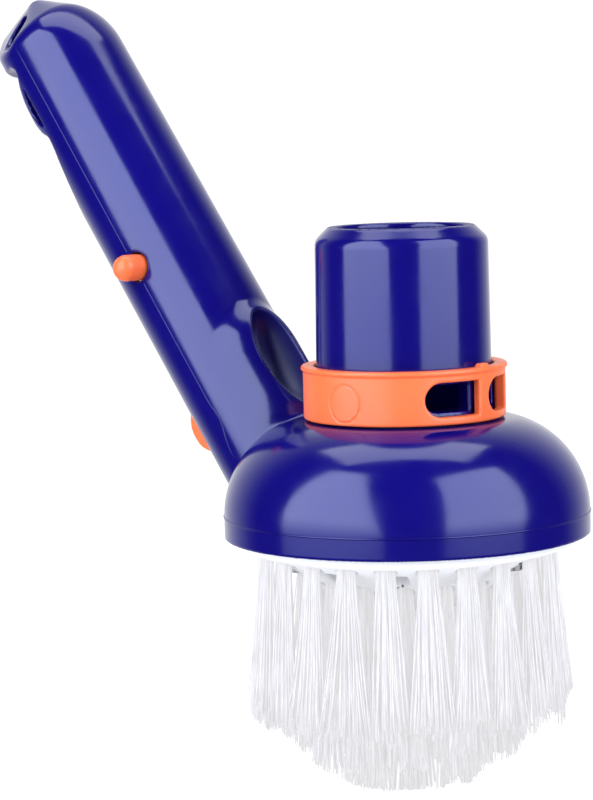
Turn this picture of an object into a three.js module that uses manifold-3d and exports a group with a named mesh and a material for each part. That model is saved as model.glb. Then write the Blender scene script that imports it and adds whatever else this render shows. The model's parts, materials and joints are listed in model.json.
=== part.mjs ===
// Round vacuum brush for pool walls, steps and corners.
// Millimetres, +Z up along the hose neck. The handle leans back towards -X, in the plane Y = 0.
// Heights are measured from the rim of the dome while the pieces are made. At the end the whole
// brush is stood on its bristle tips, with the middle of its plan at the origin.

import * as THREE from 'three';
import { mergeVertices } from 'three/addons/utils/BufferGeometryUtils.js';
import Module from 'manifold-3d';

// ---------------------------------------------------------------- driving dimensions
const GAP = 0.3;                  // clearance between neighbouring pieces
const ROUND = 48;                 // facets on the head's round surfaces
const HANDLE_ROUND = 32;          // facets on the handle's round surfaces
const BLOCK_ROUND = 36;           // facets on the bristle block

const RIM_RADIUS = 40.5;
const BAND_HEIGHT = 4.85;         // straight band round the rim of the dome
const SHOULDER_RADIUS = 19.5;     // radius at which the dome turns flat
const DOME_RISE = 21.2;           // from the top of the band to where the dome would be level
const DOME_WALL = 2.6;
const DOME_TOP = 25.75;            // the dome is turned flat here, as a seat for the ring

const NECK_FOOT_RADIUS = 19.4;
const NECK_RADIUS = 19.05;        // hose cuff size, 38 mm across
const NECK_BORE = 14.85;
const NECK_TOP = 68.3;
const NECK_BEVEL = 3.1;

const RING_BORE = NECK_FOOT_RADIUS + 0.35;
const RING_RADIUS = 22.3;
const RING_LIP_RADIUS = 22.7;
const RING_LIP_HEIGHT = 1.2;
const RING_FOOT = DOME_TOP + GAP;
const RING_HEIGHT = 11.8;
const RING_MID = RING_FOOT + RING_HEIGHT / 2;
const WINDOW_MID = RING_MID - 0.45;
const WINDOW_HEIGHT = 7.4;
const WINDOWS = [                 // polar angles of each window's two ends, in degrees
  { from: -35.3, to: -0.8 },
  { from: 8.4, to: 40 },
];
const PORT_SHRINK = 3;            // degrees that a port in the neck is inside its window at each end
const PORT_HEIGHT = 6;
const DISC = { radius: 4.05, angle: -83, below: 1.1, proud: 0.6, height: 1.6 };   // finger mark
const NUB = { angle: 5, out: 2, across: 2.6, height: 1.6 };          // grip on the ring's top edge

const HANDLE_LEAN = THREE.MathUtils.degToRad(38);   // away from the neck's axis
const HANDLE_FOOT = new THREE.Vector3(-45.7, 0, 23.85);
const HANDLE_RADIUS = 14.35;      // slides into a pole with a bore of about 29 mm
const HANDLE_BORE = 11.9;
const HANDLE_START = -22;         // places along the handle's axis are measured from HANDLE_FOOT
const BORE_START = -10;
const BORE_END = 106.4;
const TIP_POINT = 125.3;          // where the 45 degree faces of the tip would meet
const TIP_BLUNT = 1.2;
const HANG_HOLE = { along: 115.8, under: 1.8, radius: 4 };

// An egg-shaped hollow with a raised lip in the handle's upper side, next to the neck.
const SCOOP = {
  start: -8.3, end: 18.9, halfWidth: 6.2, depth: 8.8, centre: -16,
  wall: 1.6, lipRadius: 16.6, lipWidth: 2.6,
};
const SLOT = { start: -6, end: 70, halfWidth: 8.9 };
const SLOT_FLOOR = 5;             // the slot is cut from here out through the underside
// The underside is cut back towards the tip, which leaves a curved lug on each wall. Pairs are
// [under, along]: the wall's edge before the lug, the lug's curve and the step up to the tip.
const UNDERSIDE = {
  wall: [[20, 63], [12, 63]], wallBend: [8.6, 72], lugStart: [5.3, 85.1],
  lugBends: [[10.4, 91.1], [10.4, 97.1]], lugEnd: [3.8, 105], step: [[6, 107.9], [20, 110.8]],
};
const LUG_WINDOW = { start: [4.6, 88.1], bends: [[7.6, 92.1], [7.6, 96.1]], end: [4.0, 101.5] };

// The sprung clip sits a little to the right, so the left knob stands out less than the right.
const KNOB = { along: 42.8, under: -0.7, radius: 3.1, rightTip: 20.4, leftTip: 19.2, pad: 4.5 };
const KNOB_HOLE_RADIUS = 3.9;
const LEAF = { outer: 10.4, thickness: 2.2, halfWidth: 3.5, start: -2.5, end: 52.5 };
const LEAF_NECK = { under: 0.4, end: 26 };   // beside the scoop the leaf keeps only this side
const TAB = { outer: 8.5, inner: 6.4, start: -3.2, end: 10.6, edge: 10.5, crown: 14.6 };
const SPRING = {                  // two leaves that swing in from heel to waist and meet in a bend
  thickness: 1.8, heel: 53.2, heelPull: 66, waistPull: 74, waist: 87, crownPull: 97, radius: 3.6,
};
const POST = { radius: 2, along: 88, from: -13, to: 4 };

const BLOCK_RADIUS = 37.5;
const BLOCK_THICKNESS = 5.5;
const BLOCK_EDGE_TOP = 2.8;
const BLOCK_EDGE_INNER = 34.5;
// The block's bulging underside, from the middle outwards, as [radius, height] pairs.
const BLOCK_FACE = [[0, -18.3], [6, -17.6], [12.6, -15.4], [22.4, -9.7], [32.1, -3.6], [37.5, -1.6]];
const TUFT_ROOT_RADIUS = 1.9;
const TUFT_HOLE_RADIUS = 2.65;      // to the corners of its six sides
const TUFT_HOLE_DEPTH = 4;
const TUFT_DEPTH = 3.6;
const TUFT_CIRCLES = [            // root and tip are radii on the head, tipZ the height of the tip
  { name: 'outer', count: 23, root: 32.1, tip: 33.6, tipZ: -38.6, end: 3.5, first: -55.7 },
  { name: 'middle', count: 16, root: 22.4, tip: 23.7, tipZ: -47.7, end: 3.5, first: -50 },
  { name: 'inner', count: 9, root: 12.2, tip: 13.4, tipZ: -54.9, end: 3.3, first: -45 },
];

const SCREWS = { count: 3, radius: 27.3, first: 9 };
const BOSS = { radius: 3.1, top: 22, pilotRadius: 1.65, pilotTop: 13 };
const SCREW = { head: 2.2, headHeight: 1.5, shank: 1.3, length: 15 };
const SCREW_SEAT = { radius: 2.7, depth: 2.2, holeRadius: 1.7 };
const SUCTION_WINDOW = { count: 12, first: 9, across: 3.6, along: 4.2 };

// ---------------------------------------------------------------- solids
const wasm = await Module();
wasm.setup();

function solidOf(geometry) {
  const bare = geometry.clone();
  bare.deleteAttribute('normal');
  bare.deleteAttribute('uv');
  const merged = mergeVertices(bare, 1e-4);
  const corners = merged.index.array;
  const triangles = [];
  for (let i = 0; i < corners.length; i += 3) {
    const [a, b, c] = [corners[i], corners[i + 1], corners[i + 2]];
    if (a !== b && b !== c && c !== a) triangles.push(a, b, c);
  }
  if (signedVolume(merged.attributes.position, triangles) < 0) triangles.reverse();
  return new wasm.Manifold(new wasm.Mesh({
    numProp: 3,
    vertProperties: new Float32Array(merged.attributes.position.array),
    triVerts: new Uint32Array(triangles),
  }));
}

function signedVolume(position, triangles) {
  const [a, b, c] = [new THREE.Vector3(), new THREE.Vector3(), new THREE.Vector3()];
  let volume = 0;
  for (let i = 0; i < triangles.length; i += 3) {
    a.fromBufferAttribute(position, triangles[i]);
    b.fromBufferAttribute(position, triangles[i + 1]);
    c.fromBufferAttribute(position, triangles[i + 2]);
    volume += a.dot(b.cross(c)) / 6;
  }
  return volume;
}

function geometryOf(solid) {
  const mesh = solid.getMesh();
  const geometry = new THREE.BufferGeometry();
  geometry.setAttribute('position', new THREE.BufferAttribute(mesh.vertProperties, 3));
  geometry.setIndex(new THREE.BufferAttribute(mesh.triVerts, 1));
  return geometry;
}

function join(solids) {
  return solids.reduce((whole, piece) => whole.add(piece));
}

function cut(solid, cutters) {
  return cutters.reduce((rest, cutter) => rest.subtract(cutter), solid);
}

// A turned solid about Z, from [radius, height] pairs that start and end on the axis or close.
function turned(profile, facets = ROUND) {
  const points = profile.map(([radius, height]) => new THREE.Vector2(radius, height));
  return new THREE.LatheGeometry(points, facets).rotateX(Math.PI / 2);
}

function box(sizeX, sizeY, sizeZ, x, y, z) {
  return new THREE.BoxGeometry(sizeX, sizeY, sizeZ).translate(x, y, z);
}

// Points on a quarter of an ellipse, from its side to its top.
function quarterEllipse(centreRadius, centreHeight, reach, rise, steps) {
  const points = [];
  for (let i = 0; i <= steps; i += 1) {
    const angle = (i / steps) * (Math.PI / 2);
    points.push([centreRadius + reach * Math.cos(angle), centreHeight + rise * Math.sin(angle)]);
  }
  return points;
}

function polar(radius, degrees, height = 0) {
  const angle = THREE.MathUtils.degToRad(degrees);
  return new THREE.Vector3(radius * Math.cos(angle), radius * Math.sin(angle), height);
}

// ---------------------------------------------------------------- the handle's own frame
// X points out of the handle's underside, Y out of its right flank and Z along it to the tip.
const ALONG = new THREE.Vector3(-Math.sin(HANDLE_LEAN), 0, Math.cos(HANDLE_LEAN));
const UNDER = new THREE.Vector3(-Math.cos(HANDLE_LEAN), 0, -Math.sin(HANDLE_LEAN));
const FLANK = new THREE.Vector3(0, -1, 0);
const HANDLE_FRAME = new THREE.Matrix4().makeBasis(UNDER, FLANK, ALONG).setPosition(HANDLE_FOOT);

function onHandle(geometry) {
  return solidOf(geometry.applyMatrix4(HANDLE_FRAME));
}

function rod(radius, start, end, facets = HANDLE_ROUND) {
  return new THREE.CylinderGeometry(radius, radius, end - start, facets)
    .rotateX(Math.PI / 2).translate(0, 0, (start + end) / 2);
}

// A shape drawn with x = under and y = along, extruded across the handle by half each way.
function acrossFlanks(shape, half) {
  const basis = new THREE.Matrix4().makeBasis(
    new THREE.Vector3(1, 0, 0), new THREE.Vector3(0, 0, 1), new THREE.Vector3(0, -1, 0));
  return new THREE.ExtrudeGeometry(shape, { depth: 2 * half, bevelEnabled: false, curveSegments: 6 })
    .translate(0, 0, -half).applyMatrix4(basis);
}

// A shape drawn with x = flank and y = along, extruded from one place under the axis to another.
function throughThickness(shape, from, to) {
  const basis = new THREE.Matrix4().makeBasis(
    new THREE.Vector3(0, 1, 0), new THREE.Vector3(0, 0, 1), new THREE.Vector3(1, 0, 0));
  return new THREE.ExtrudeGeometry(shape, { depth: to - from, bevelEnabled: false, curveSegments: 8 })
    .translate(0, 0, from).applyMatrix4(basis);
}

function obround(halfWidth, start, end) {
  const shape = new THREE.Shape();
  shape.absarc(0, end - halfWidth, halfWidth, 0, Math.PI, false);
  shape.absarc(0, start + halfWidth, halfWidth, Math.PI, 2 * Math.PI, false);
  return shape;
}

function polygon(points) {
  return new THREE.Shape(points.map(([x, y]) => new THREE.Vector2(x, y)));
}

// ---------------------------------------------------------------- body
function domeAndNeck() {
  return solidOf(turned([
    [0, 0], [RIM_RADIUS, 0],
    ...quarterEllipse(SHOULDER_RADIUS, BAND_HEIGHT, RIM_RADIUS - SHOULDER_RADIUS, DOME_RISE, 8)
      .map(([radius, height]) => [radius, Math.min(height, DOME_TOP)]),
    [NECK_FOOT_RADIUS, DOME_TOP],
    [NECK_RADIUS, NECK_TOP - NECK_BEVEL], [NECK_RADIUS - NECK_BEVEL, NECK_TOP],
    [0, NECK_TOP],
  ]));
}

function waterWay() {
  const reach = RIM_RADIUS - SHOULDER_RADIUS - DOME_WALL;
  return solidOf(turned([
    [0, -1], [RIM_RADIUS - DOME_WALL, -1],
    ...quarterEllipse(SHOULDER_RADIUS, BAND_HEIGHT, reach, DOME_RISE - DOME_WALL, 7),
    [NECK_BORE, DOME_TOP - DOME_WALL], [NECK_BORE, NECK_TOP + 1], [0, NECK_TOP + 1],
  ]));
}

// The tip: a 45 degree cone on the handle's upper side and two 45 degree flats on its underside.
function tipShape() {
  const base = TIP_POINT - 2 * HANDLE_RADIUS;
  const cone = turned([
    [0, HANDLE_START], [2 * HANDLE_RADIUS, HANDLE_START], [2 * HANDLE_RADIUS, base],
    [TIP_BLUNT, TIP_POINT - TIP_BLUNT], [0, TIP_POINT - TIP_BLUNT],
  ], HANDLE_ROUND);
  const gable = throughThickness(polygon([
    [-2 * HANDLE_RADIUS, base], [2 * HANDLE_RADIUS, base],
    [TIP_BLUNT, TIP_POINT - TIP_BLUNT], [-TIP_BLUNT, TIP_POINT - TIP_BLUNT],
  ]), 0, 2 * HANDLE_RADIUS);
  return onHandle(cone).add(onHandle(gable));
}

function handleBar() {
  const bar = onHandle(rod(HANDLE_RADIUS, HANDLE_START, TIP_POINT));
  const lipHalf = SCOOP.halfWidth + SCOOP.lipWidth;
  const lip = onHandle(rod(SCOOP.lipRadius, HANDLE_START, TIP_POINT))
    .intersect(onHandle(throughThickness(
      obround(lipHalf, SCOOP.start - SCOOP.lipWidth, SCOOP.end + SCOOP.lipWidth),
      -2 * HANDLE_RADIUS, 0)));
  const belowRim = solidOf(box(120, 90, 40, -40, 0, -20 + 0.6));
  return bar.intersect(tipShape()).add(lip).subtract(belowRim);
}

// The scoop's egg-shaped hollow, grown by the wall round it where that is wanted.
function scoopHollow(wall) {
  const halfLength = (SCOOP.end - SCOOP.start) / 2;
  return onHandle(new THREE.SphereGeometry(1, 24, 14).rotateX(Math.PI / 2)
    .scale(SCOOP.depth + wall, SCOOP.halfWidth + wall, halfLength + wall)
    .translate(SCOOP.centre, 0, SCOOP.start + halfLength));
}

function undersideCut() {
  const { wall, wallBend, lugStart, lugBends, lugEnd, step } = UNDERSIDE;
  const shape = new THREE.Shape();
  shape.moveTo(...wall[0]);
  shape.lineTo(...wall[1]);
  shape.quadraticCurveTo(...wallBend, ...lugStart);
  shape.bezierCurveTo(...lugBends[0], ...lugBends[1], ...lugEnd);
  shape.lineTo(...step[0]);
  shape.lineTo(...step[1]);
  return onHandle(acrossFlanks(shape, 2 * HANDLE_RADIUS));
}

function lugWindows() {
  const { start, bends, end } = LUG_WINDOW;
  const shape = new THREE.Shape();
  shape.moveTo(...start);
  shape.bezierCurveTo(...bends[0], ...bends[1], ...end);
  shape.lineTo(...start);
  return onHandle(acrossFlanks(shape, 2 * HANDLE_RADIUS));
}

function crossHole(radius, under, along, facets) {
  const pin = new THREE.CylinderGeometry(radius, radius, 4 * HANDLE_RADIUS, facets);
  return onHandle(pin.translate(under, 0, along));
}

function bossesAndPost() {
  const solids = [];
  const foot = blockHeight(SCREWS.radius + BOSS.radius) + BLOCK_THICKNESS + GAP;
  for (let i = 0; i < SCREWS.count; i += 1) {
    const place = polar(SCREWS.radius, SCREWS.first + (360 / SCREWS.count) * i);
    const boss = turned([[0, foot], [BOSS.radius, foot], [BOSS.radius, BOSS.top], [0, BOSS.top]], 12);
    const pilot = turned([
      [0, foot - 1], [BOSS.pilotRadius, foot - 1], [BOSS.pilotRadius, BOSS.pilotTop],
      [0, BOSS.pilotTop],
    ], 10);
    solids.push(solidOf(boss.translate(place.x, place.y, 0))
      .subtract(solidOf(pilot.translate(place.x, place.y, 0))));
  }
  const post = new THREE.CylinderGeometry(POST.radius, POST.radius, POST.to - POST.from, 14)
    .rotateZ(Math.PI / 2);
  solids.push(onHandle(post.translate((POST.from + POST.to) / 2, 0, POST.along)));
  return solids;
}

function neckPorts() {
  return WINDOWS.map(({ from, to }) => solidOf(radialCutter(
    from + PORT_SHRINK, to - PORT_SHRINK, PORT_HEIGHT, NECK_BORE - 2, RING_BORE - 0.1)));
}

function brushBody() {
  const bore = onHandle(rod(HANDLE_BORE, BORE_START, BORE_END));
  const scoopWall = scoopHollow(SCOOP.wall)
    .intersect(onHandle(rod(HANDLE_RADIUS - 0.5, HANDLE_START, BORE_END)));
  const slot = onHandle(box(2 * HANDLE_RADIUS, 2 * SLOT.halfWidth, SLOT.end - SLOT.start,
    HANDLE_RADIUS + SLOT_FLOOR, 0, (SLOT.end + SLOT.start) / 2));
  const shell = cut(join([domeAndNeck(), handleBar()]), [
    waterWay(), bore, slot, undersideCut(), lugWindows(),
    crossHole(KNOB_HOLE_RADIUS, KNOB.under, KNOB.along, 20),
    crossHole(HANG_HOLE.radius, HANG_HOLE.under, HANG_HOLE.along, 18),
    ...neckPorts(),
  ]);
  return join([shell, scoopWall, ...bossesAndPost()]).subtract(scoopHollow(0));
}

// ---------------------------------------------------------------- regulator ring
// A cutter with straight sides, pointing out from the neck's axis between two polar angles.
function radialCutter(from, to, height, inner, outer) {
  const half = THREE.MathUtils.degToRad((to - from) / 2);
  const width = 2 * RING_RADIUS * Math.sin(half);
  const end = height / 2;
  const shape = new THREE.Shape();
  shape.moveTo(width / 2, -end);
  shape.lineTo(width / 2, end);
  shape.lineTo(-width / 2 + end, end);
  shape.absarc(-width / 2 + end, 0, end, Math.PI / 2, 1.5 * Math.PI, false);
  const angle = THREE.MathUtils.degToRad((from + to) / 2);
  return new THREE.ExtrudeGeometry(shape, { depth: outer - inner, bevelEnabled: false, curveSegments: 6 })
    .translate(0, 0, inner).rotateX(Math.PI / 2).rotateZ(Math.PI / 2)
    .rotateZ(angle).translate(0, 0, WINDOW_MID);
}

function regulatorRing() {
  const top = RING_FOOT + RING_HEIGHT;
  const collar = solidOf(turned([
    [RING_BORE, RING_FOOT], [RING_RADIUS, RING_FOOT],
    [RING_RADIUS, top - RING_LIP_HEIGHT], [RING_LIP_RADIUS, top - RING_LIP_HEIGHT],
    [RING_LIP_RADIUS, top], [RING_BORE, top], [RING_BORE, RING_FOOT],
  ]));
  const windows = WINDOWS.map(({ from, to }) => solidOf(radialCutter(
    from, to, WINDOW_HEIGHT, RING_BORE - 2, RING_RADIUS + 3)));
  const nub = box(NUB.out, NUB.across, NUB.height, RING_RADIUS - NUB.out / 2, 0, top)
    .rotateZ(THREE.MathUtils.degToRad(NUB.angle));
  const disc = new THREE.CylinderGeometry(DISC.radius, DISC.radius, DISC.height, 20)
    .rotateZ(Math.PI / 2)
    .translate(RING_RADIUS + DISC.proud - DISC.height / 2, 0, RING_MID - DISC.below)
    .rotateZ(THREE.MathUtils.degToRad(DISC.angle));
  return cut(collar, windows).add(solidOf(nub)).add(solidOf(disc));
}

// ---------------------------------------------------------------- bristle block
function blockHeight(radius) {
  const next = BLOCK_FACE.findIndex(([r]) => r >= radius);
  const [[r0, z0], [r1, z1]] = [BLOCK_FACE[Math.max(next - 1, 0)], BLOCK_FACE[Math.max(next, 1)]];
  return z0 + ((z1 - z0) * (radius - r0)) / (r1 - r0);
}

function tuftPlaces(circle) {
  const places = [];
  for (let i = 0; i < circle.count; i += 1) {
    const degrees = circle.first + (360 / circle.count) * i;
    const root = polar(circle.root, degrees, blockHeight(circle.root));
    const tip = polar(circle.tip, degrees, circle.tipZ);
    places.push({ root, tip });
  }
  return places;
}

// Turns a solid made along +Z so that it starts at root and points to tip.
function aimed(geometry, { root, tip }) {
  const turn = new THREE.Quaternion().setFromUnitVectors(
    new THREE.Vector3(0, 0, 1), tip.clone().sub(root).normalize());
  return geometry.applyQuaternion(turn).translate(root.x, root.y, root.z);
}

function bristleBlock() {
  const top = BLOCK_FACE.slice(0, -1).reverse().map(([r, z]) => [r, z + BLOCK_THICKNESS]);
  const profile = [...BLOCK_FACE, [BLOCK_RADIUS, BLOCK_EDGE_TOP], [BLOCK_EDGE_INNER, BLOCK_EDGE_TOP],
    ...top];
  let block = solidOf(turned(profile, BLOCK_ROUND));
  const cutters = [];
  for (const circle of TUFT_CIRCLES) {
    for (const place of tuftPlaces(circle)) {
      const hole = turned([
        [0, -TUFT_HOLE_DEPTH], [TUFT_HOLE_RADIUS, -TUFT_HOLE_DEPTH],
        [TUFT_HOLE_RADIUS, TUFT_HOLE_DEPTH], [0, TUFT_HOLE_DEPTH],
      ], 6);
      cutters.push(solidOf(aimed(hole, place)));
    }
  }
  for (let i = 0; i < SUCTION_WINDOW.count; i += 1) {
    const degrees = SUCTION_WINDOW.first + (360 / SUCTION_WINDOW.count) * i;
    const place = polar(SCREWS.radius, degrees);
    const isScrew = i % (SUCTION_WINDOW.count / SCREWS.count) === 0;
    if (isScrew) {
      const face = blockHeight(SCREWS.radius);
      const { radius, depth, holeRadius } = SCREW_SEAT;
      const seat = [[0, -20], [radius, -20], [radius, face + depth], [holeRadius, face + depth],
        [holeRadius, BLOCK_THICKNESS], [0, BLOCK_THICKNESS]];
      cutters.push(solidOf(turned(seat, 12).translate(place.x, place.y, 0)));
    } else {
      cutters.push(solidOf(box(SUCTION_WINDOW.along, SUCTION_WINDOW.across, 30, 0, 0, -5)
        .rotateZ(THREE.MathUtils.degToRad(degrees)).translate(place.x, place.y, 0)));
    }
  }
  for (const cutter of cutters) block = block.subtract(cutter);
  return block;
}

function tuft(circle, place) {
  const length = place.tip.distanceTo(place.root);
  const bundle = turned([
    [0, -TUFT_DEPTH], [TUFT_ROOT_RADIUS, -TUFT_DEPTH], [TUFT_ROOT_RADIUS, 1],
    [circle.end, length], [0, length],
  ], 7);
  return solidOf(aimed(bundle, place));
}

function blockScrew(index) {
  const place = polar(SCREWS.radius, SCREWS.first + (360 / SCREWS.count) * index);
  const seat = blockHeight(SCREWS.radius) + SCREW_SEAT.depth - GAP;
  return solidOf(turned([
    [0, seat - SCREW.headHeight], [SCREW.head, seat - SCREW.headHeight], [SCREW.head, seat],
    [SCREW.shank, seat], [SCREW.shank, seat + SCREW.length], [0, seat + SCREW.length],
  ], 12).translate(place.x, place.y, 0));
}

// ---------------------------------------------------------------- snap clip, in the handle's frame
// side is 1 for the right flank and -1 for the left.
function snapButton(side) {
  const leafMiddle = LEAF.outer - LEAF.thickness / 2;
  const leaf = box(2 * LEAF.halfWidth, LEAF.thickness, LEAF.end - LEAF_NECK.end,
    0, leafMiddle, (LEAF.end + LEAF_NECK.end) / 2);
  const neck = box(LEAF.halfWidth - LEAF_NECK.under, LEAF.thickness, LEAF_NECK.end + 1 - LEAF.start,
    (LEAF.halfWidth + LEAF_NECK.under) / 2, leafMiddle, (LEAF_NECK.end + 1 + LEAF.start) / 2);
  const pad = new THREE.CylinderGeometry(KNOB.pad, KNOB.pad, LEAF.thickness, 20)
    .translate(KNOB.under, leafMiddle, KNOB.along);
  const knobLength = (side > 0 ? KNOB.rightTip : KNOB.leftTip) - LEAF.outer + 1;
  const knob = turned([
    [0, 0], [KNOB.radius, 0],
    ...quarterEllipse(0, knobLength - KNOB.radius, KNOB.radius, KNOB.radius, 4),
  ], 14).rotateX(-Math.PI / 2).translate(KNOB.under, LEAF.outer - 1, KNOB.along);
  const outline = new THREE.Shape();
  outline.moveTo(LEAF_NECK.under, TAB.start);
  outline.lineTo(TAB.edge, TAB.start);
  outline.quadraticCurveTo(2 * TAB.crown - TAB.edge, (TAB.start + TAB.end) / 2, TAB.edge, TAB.end);
  outline.lineTo(LEAF_NECK.under, TAB.end);
  const tab = acrossFlanks(outline, (TAB.outer - TAB.inner) / 2)
    .translate(0, (TAB.outer + TAB.inner) / 2, 0);
  const pieces = [leaf, neck, pad, knob, tab];
  if (side < 0) pieces.forEach((piece) => piece.scale(1, -1, 1));
  return join(pieces.map(solidOf));
}

// The bend: two leaves that run from the buttons' leaves round the post, in the plane under = 0.
function clipSpring() {
  const foot = LEAF.outer - LEAF.thickness / 2;
  const { heel, heelPull, waistPull, waist, crownPull, radius } = SPRING;
  const line = new THREE.CurvePath();
  const corner = (across, along) => new THREE.Vector2(across, along);
  line.add(new THREE.CubicBezierCurve(
    corner(foot, heel), corner(foot, heelPull), corner(radius, waistPull), corner(radius, waist)));
  line.add(new THREE.CubicBezierCurve(
    corner(radius, waist), corner(radius, crownPull), corner(-radius, crownPull), corner(-radius, waist)));
  line.add(new THREE.CubicBezierCurve(
    corner(-radius, waist), corner(-radius, waistPull), corner(-foot, heelPull), corner(-foot, heel)));
  const steps = 30;
  const [right, left] = [[], []];
  for (let i = 0; i <= steps; i += 1) {
    const point = line.getPoint(i / steps);
    const tangent = line.getTangent(i / steps);
    const normal = new THREE.Vector2(tangent.y, -tangent.x).multiplyScalar(SPRING.thickness / 2);
    right.push(point.clone().add(normal));
    left.unshift(point.clone().sub(normal));
  }
  return solidOf(throughThickness(new THREE.Shape([...right, ...left]), -LEAF.halfWidth, LEAF.halfWidth));
}

// ---------------------------------------------------------------- assembly
const BLUE = { color: 0x14108c, roughness: 0.22, metalness: 0 };
const ORANGE = { color: 0xf26a2a, roughness: 0.4, metalness: 0 };
const WHITE = { color: 0xf2f3f5, roughness: 0.5, metalness: 0 };
const STEEL = { color: 0xb8babd, roughness: 0.3, metalness: 1 };

function meshOf(name, solid, finish) {
  const mesh = new THREE.Mesh(geometryOf(solid), new THREE.MeshStandardMaterial(finish));
  mesh.name = name;
  return mesh;
}

function snapClip() {
  const clip = new THREE.Group();
  clip.applyMatrix4(HANDLE_FRAME);
  clip.add(meshOf('button_right', snapButton(1), ORANGE));
  clip.add(meshOf('button_left', snapButton(-1), ORANGE));
  clip.add(meshOf('clip_spring', clipSpring(), ORANGE));
  return clip;
}

function bristleHead() {
  const head = new THREE.Group();
  head.add(meshOf('bristle_block', bristleBlock(), WHITE));
  for (const circle of TUFT_CIRCLES) {
    tuftPlaces(circle).forEach((place, index) => {
      const number = String(index + 1).padStart(2, '0');
      head.add(meshOf(`tuft_${circle.name}_${number}`, tuft(circle, place), WHITE));
    });
  }
  for (let i = 0; i < SCREWS.count; i += 1) {
    head.add(meshOf(`block_screw_${i + 1}`, blockScrew(i), STEEL));
  }
  return head;
}

const brush = new THREE.Group();
brush.add(meshOf('brush_body', brushBody(), BLUE));
brush.add(meshOf('regulator_ring', regulatorRing(), ORANGE));
brush.add(snapClip());
brush.add(bristleHead());

brush.updateMatrixWorld(true);
const bounds = new THREE.Box3().setFromObject(brush);
const middle = bounds.getCenter(new THREE.Vector3());
brush.position.set(-middle.x, 0, -bounds.min.z);

export default brush;
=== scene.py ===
import json
import math

import bpy
import numpy as np
from mathutils import Matrix, Vector


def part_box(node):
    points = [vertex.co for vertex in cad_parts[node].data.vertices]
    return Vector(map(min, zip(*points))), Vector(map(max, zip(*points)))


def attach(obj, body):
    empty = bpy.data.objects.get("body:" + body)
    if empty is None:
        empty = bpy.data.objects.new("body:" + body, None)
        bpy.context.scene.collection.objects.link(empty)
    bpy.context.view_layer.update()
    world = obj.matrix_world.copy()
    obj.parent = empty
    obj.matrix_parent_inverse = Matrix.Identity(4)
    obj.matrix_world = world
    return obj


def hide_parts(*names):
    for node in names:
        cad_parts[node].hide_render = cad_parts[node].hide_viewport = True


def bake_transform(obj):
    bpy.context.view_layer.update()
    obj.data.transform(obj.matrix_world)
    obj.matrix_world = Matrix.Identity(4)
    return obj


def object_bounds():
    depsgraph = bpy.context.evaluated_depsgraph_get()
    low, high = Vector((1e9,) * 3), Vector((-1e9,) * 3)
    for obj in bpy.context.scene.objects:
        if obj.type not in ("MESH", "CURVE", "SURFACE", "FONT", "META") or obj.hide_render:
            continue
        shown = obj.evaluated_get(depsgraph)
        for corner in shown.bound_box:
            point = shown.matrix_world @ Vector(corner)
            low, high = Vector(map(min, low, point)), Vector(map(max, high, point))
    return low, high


# The looks of a round vacuum brush for pool walls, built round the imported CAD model.
# Shapes are worked out in millimetres: the head's frame has its origin on the neck's axis at the
# height of the dome's rim, and the handle's frame has n out of its underside, m out of its right
# flank and t along it. Every mesh is brought into the row frame, in metres, as it is made.

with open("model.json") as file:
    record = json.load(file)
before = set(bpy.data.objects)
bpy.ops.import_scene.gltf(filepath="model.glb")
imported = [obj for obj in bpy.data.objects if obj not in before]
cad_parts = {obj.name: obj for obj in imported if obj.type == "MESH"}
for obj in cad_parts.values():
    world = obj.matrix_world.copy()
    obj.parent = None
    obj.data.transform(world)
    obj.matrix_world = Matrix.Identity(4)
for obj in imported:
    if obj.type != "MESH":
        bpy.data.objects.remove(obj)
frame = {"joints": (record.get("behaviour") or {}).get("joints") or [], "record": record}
cad_low, cad_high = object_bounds()
record = frame["record"]
joints = {joint["name"]: joint for joint in frame["joints"]}
mounts = {mount["name"]: mount for mount in record["mounts"]}

# ---------------------------------------------------------------- sizes, in millimetres
GAP = 0.3                            # clearance between neighbouring pieces

RIM_RADIUS = 40.5
BAND_HEIGHT = 4.85
SHOULDER_RADIUS = 19.5
DOME_REACH = RIM_RADIUS - SHOULDER_RADIUS
DOME_RISE = 21.2
DOME_TOP = 25.75                     # turned flat here, as a seat for the ring
DOME_WALL = 2.6

NECK_FOOT_RADIUS = 19.4
NECK_RADIUS = 19.05
NECK_BORE = 14.85
NECK_TOP = 68.3
NECK_BEVEL = 3.1

RING_BORE = 19.75
RING_RADIUS = 22.3
RING_LIP = 0.45
RING_LIP_HEIGHT = 1.3
RING_FOOT = DOME_TOP + GAP
RING_HEIGHT = 11.8
RING_MID = RING_FOOT + RING_HEIGHT / 2
WINDOW_MID = RING_MID - 0.45
WINDOW_HEIGHT = 7.4
WINDOWS = [(-35.3, -0.8), (8.4, 40)]  # polar angles of each window's ends, in degrees
PORT_SHRINK = 3
PORT_HEIGHT = 6
DISC_RADIUS, DISC_ANGLE, DISC_BELOW = 4.05, -83, 1.1
NUB_ANGLE = 5

HANDLE_RADIUS = 14.35
HANDLE_BORE = 11.9
HANDLE_START = -22
BORE_START = -10
BORE_END = 106.4
TIP_POINT = 125.3
TIP_BLUNT = 1.2
TIP_FACE_UNDER = 7.0                 # n of the middle of the tip's blunt face
HANG_HOLE = (1.8, 115.8, 4.0)         # n, t and radius
# An egg-shaped hollow with a raised lip in the handle's upper side, next to the neck.
SCOOP_START, SCOOP_END, SCOOP_HALF = -8.3, 18.9, 6.2
SCOOP_DEPTH, SCOOP_CENTRE, SCOOP_WALL = 8.8, -16, 1.6
LIP_RISE, LIP_WIDTH, LIP_END = 2.0, 7.5, SCOOP_END - 3.2
SCOOP_DULLNESS = 0.22                # roughness added inside the hollow
SLOT_START, SLOT_END, SLOT_HALF, SLOT_FLOOR = -6, 70, 8.9, 5
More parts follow.
